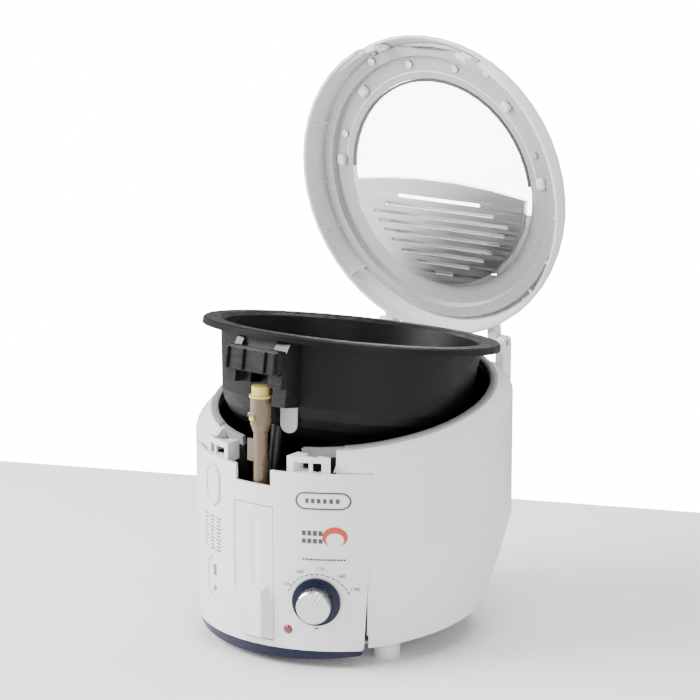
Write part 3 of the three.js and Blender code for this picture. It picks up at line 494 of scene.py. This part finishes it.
def make_badge():
    """A plain pill-shaped outline and a crescent, with no words."""
    x, z, half, high = 60, 144, 19.5, 6.8
    outline = ([(x - half + high, z + high), (x + half - high, z + high)]
               + arc_points(x + half - high, z, high, 0, 180, 12)
               + [(x - half + high, z - high)] + arc_points(x - half + high, z, high, 180, 360, 12))
    panel_marks("badge_outline", band(outline, 0.55), "print_grey", 0.35)
    bars = [rectangle(x - 11 + k * 4.4, z, 1.3, 1.9) for k in range(6)]
    panel_marks("badge_bars", bars, "print_grey")
    crescent = []
    steps = 26
    for k in range(steps):
        a, b = [math.radians(-150 + 300 * (k + t) / steps) for t in (0, 1)]
        thick = [5.2 * max(0.08, math.sin(math.pi * (k + t) / steps)) for t in (0, 1)]
        crescent.append([(69 + 8.6 * math.sin(a), 113.5 + 8.6 * math.cos(a)),
                         (69 + 8.6 * math.sin(b), 113.5 + 8.6 * math.cos(b)),
                         (69 + (8.6 - thick[1]) * math.sin(b), 113.5 + (8.6 - thick[1]) * math.cos(b)),
                         (69 + (8.6 - thick[0]) * math.sin(a), 113.5 + (8.6 - thick[0]) * math.cos(a))])
    panel_marks("crescent_mark", crescent, "print_red")
    bars = [rectangle(46.5 + k * 4.2, 116.5, 1.5, 2.1) for k in range(4)]
    bars += [rectangle(46.5 + k * 4.2, 109.8, 1.5, 1.9) for k in range(4)]
    panel_marks("mark_bars", bars, "print_grey")
    caption = [rectangle(46 + k * 2.1, 94, 0.75, 0.7) for k in range(15)]
    panel_marks("caption_dashes", caption, "print_grey")


def make_side_prints():
    marks = []
    for row in range(10):
        for column in range(3):
            marks.append(rectangle(-62 + column * 10, 113 - row * 3.1, 3.4 - 0.7 * (row % 3), 0.4))
    panel_marks("method_marks", marks, "print_grey")


PANEL_TOP = 166.6
PANEL_HALF = 91.7
PANEL_LEAN = 0.04
SEAM_HEIGHTS = (17, 60, 110, 165)


def make_seams():
    """White strips in the hairline gaps beside the panel, just under its surface."""
    for side, tag in ((-1, "left"), (1, "right")):
        line = [(side * (PANEL_HALF - (PANEL_TOP - z) * PANEL_LEAN), z) for z in SEAM_HEIGHTS]
        panel_marks("seam_" + tag, band(line, 1.8), "white_plastic", -0.45, 1.6)


# ------------------------------------------------------------------ rim and bowl details
def make_rim_band():
    """The grey band on top of the rim ring, open at the front where the keepers stand."""
    profile = [(116.8, 0.6), (116.8, 2.2), (117.6, 2.7), (122.8, 2.7), (123.6, 2.2), (123.6, 0.6)]
    swept_arc("rim_band", RIM, profile, -58, 238, "seal_grey", "housing", 120)


def make_shoulder_bridges():
    """White slopes that carry the shoulder on from the casing to the keepers."""
    profile = [(117.5, -12), (117.5, 0.6), (123.8, 0.6), (137.6, -13.2), (137.6, -17), (126, -17)]
    for start, tag in ((-61, "right"), (-134, "left")):
        bridge = swept_arc("shoulder_bridge_" + tag, RIM, profile, start, start + 15,
                           "white_plastic", "housing", 12)
        for face in bridge.data.polygons:
            face.use_smooth = False


def make_bracket_details():
    block("bracket_bar", BOWL, (-27, -137, -24.5), (27, -115, -4.5), 1.4,
          "black_plastic", "bowl")
    for index, x in enumerate((-24, -8, 14, 24)):
        block(f"bracket_rib_{index}", BOWL, (x - 1, -139.5, -24), (x + 1, -136, -6), 0.4,
              "black_plastic", "bowl")


# ------------------------------------------------------------------ lid details
RIB_ANGLES = (-62, -20, 6, 25, 45)
BOSS_ANGLES = (-45, -5)
WINDOW_BEAD = (101.2, 22.6, 1.1)
LEDGE_PROFILE = [(128.8, 3), (132.2, 3), (132.2, 12.5), (128.8, 12.5)]
LEDGE_SPAN = 14


def make_lid_details():
    """Ribs, bosses and ledges inside the lid, all clear of the bowl's rim when the lid shuts."""
    for side in (-1, 1):
        tag = "left" if side < 0 else "right"
        for index, angle in enumerate(RIB_ANGLES):
            turn = Matrix.Rotation(math.radians(angle if side > 0 else 180 - angle), 4, "Z")
            block(f"lid_rib_{tag}_{index}", LID @ turn, (128.9, -1.0, 2.5), (132.3, 1.0, 12.5), 0.4,
                  "white_plastic", "lid")
            block(f"lid_web_{tag}_{index}", LID @ turn, (123.8, -1.0, 17.3), (128.6, 1.0, 20), 0.3,
                  "white_plastic", "lid")
        for index, angle in enumerate(BOSS_ANGLES):
            turn = Matrix.Rotation(math.radians(angle if side > 0 else 180 - angle), 4, "Z")
            block(f"lid_boss_{tag}_{index}", LID @ turn, (102, -5, 18.2), (110.5, 5, 22.2), 1.2,
                  "white_plastic", "lid")
        first = -62 if side > 0 else -132
        swept_arc("latch_step_" + tag, LID, LEDGE_PROFILE, first, first + LEDGE_SPAN,
                  "white_plastic", "lid", 10)
    swept_arc("window_bead", WINDOW, bead_profile(*WINDOW_BEAD), 188, 352,
              "white_plastic", "lid", 96)


# ------------------------------------------------------------------ floor and light
FLOOR_BACK = 0.39
FLOOR_DEEP = 6.0
FLOOR_TURN = math.radians(15.0)
CAMERA_WORLD = 16.0
LIGHT_WORLD = 0.6


def make_floor():
    """A pale table top whose far edge is turned a little from square to the view."""
    turn = Matrix.Rotation(VIEW_AZIMUTH - FLOOR_TURN, 4, "Z")
    corners = [(-FLOOR_DEEP, -FLOOR_DEEP, 0), (FLOOR_DEEP, -FLOOR_DEEP, 0),
               (FLOOR_DEEP, FLOOR_BACK, 0), (-FLOOR_DEEP, FLOOR_BACK, 0)]
    floor = new_object("floor", [turn @ Vector(corner) for corner in corners], [(0, 1, 2, 3)])
    look = plastic("floor_look", (0.93, 0.93, 0.93), 0.5, edge=0, mottle=0.01, grain=0.02)
    floor.data.materials.append(look)


def area_light(name, place, target, size, power, colour=(1, 1, 1)):
    data = bpy.data.lights.new(name, "AREA")
    data.shape = "RECTANGLE"
    data.size, data.size_y = size
    data.energy = power
    data.color = colour
    light = bpy.data.objects.new(name, data)
    light.location = place
    light.rotation_mode = "QUATERNION"
    light.rotation_quaternion = (Vector(place) - Vector(target)).to_track_quat("Z", "Y")
    SCENE.collection.objects.link(light)


def make_light():
    """Soft lamps and a white world, brighter where the camera or clear glass looks straight at it."""
    world = bpy.data.worlds.new("studio")
    world.use_nodes = True
    nodes = world.node_tree.nodes
    shader = nodes["Background"]
    shader.inputs["Color"].default_value = (1, 1, 1, 1)
    path = nodes.new("ShaderNodeLightPath")
    level = nodes.new("ShaderNodeMapRange")
    level.inputs["To Min"].default_value = LIGHT_WORLD
    level.inputs["To Max"].default_value = CAMERA_WORLD
    seen = nodes.new("ShaderNodeMath")
    seen.operation = "MAXIMUM"
    world.node_tree.links.new(path.outputs["Is Camera Ray"], seen.inputs[0])
    world.node_tree.links.new(path.outputs["Is Transmission Ray"], seen.inputs[1])
    world.node_tree.links.new(seen.outputs["Value"], level.inputs["Value"])
    world.node_tree.links.new(level.outputs["Result"], shader.inputs["Strength"])
    SCENE.world = world
    area_light("key", (-1.5, -1.3, 1.4), (0, 0, 0.2), (1.4, 1.4), 120)
    area_light("fill", (1.7, -1.2, 0.9), (0, 0, 0.2), (1.4, 1.4), 18)
    area_light("top", (0.2, 0.5, 2.2), (0, 0, 0.2), (1.6, 1.6), 56)


make_dial_scale()
make_badge()
make_side_prints()
make_seams()
make_rim_band()
make_shoulder_bridges()
make_bracket_details()
make_lid_details()
make_floor()
make_light()
